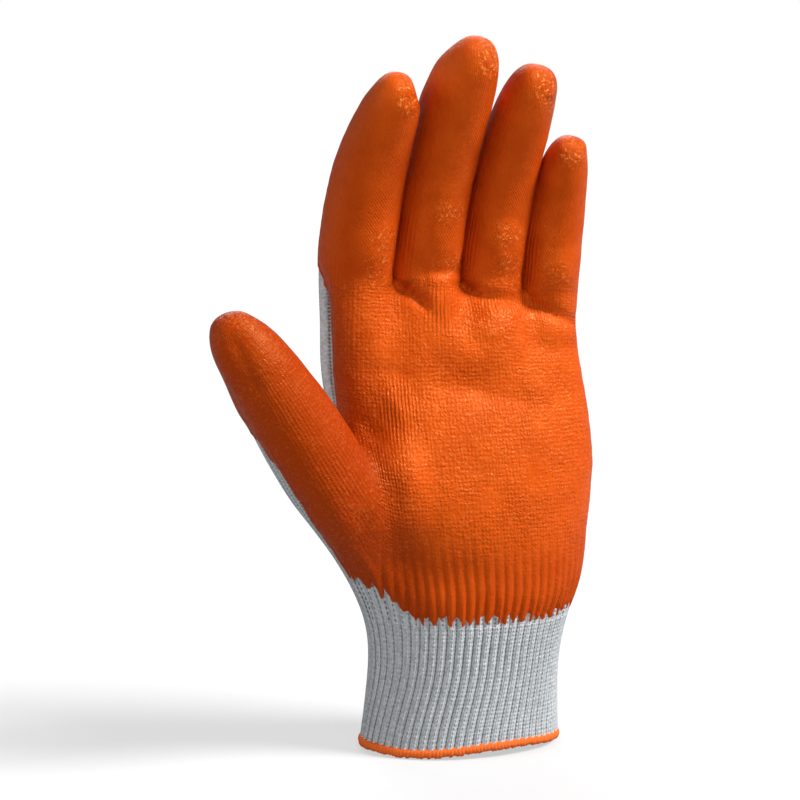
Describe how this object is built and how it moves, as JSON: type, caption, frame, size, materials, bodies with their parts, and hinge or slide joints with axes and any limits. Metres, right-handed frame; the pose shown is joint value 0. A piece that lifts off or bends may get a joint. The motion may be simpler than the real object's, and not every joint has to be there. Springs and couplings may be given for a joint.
{
  "type": "latex coated grip glove",
  "caption": "Knitted work glove for the left hand with a latex-coated palm, fingertips and thumb, a ribbed elastic cuff and a stitched hem, held open in its worn form.",
  "frame": {"origin": "middle of the wrist opening, in the plane of the hem", "axes": "+Z from the hem to the fingertips, +Y out of the back of the hand, so the coated palm faces -Y; the thumb points to -X"},
  "size_m": [0.1374, 0.0665, 0.2449],
  "materials": {
    "liner_knit": "matte",
    "cuff_knit": "matte",
    "latex": "satin",
    "hem_thread": "matte"
  },
  "bodies": {
    "root": {"knit_hand": "liner_knit", "rib_cuff": "cuff_knit", "latex_coating": "latex", "overlock_hem": "hem_thread"}
  },
  "joints": []
}
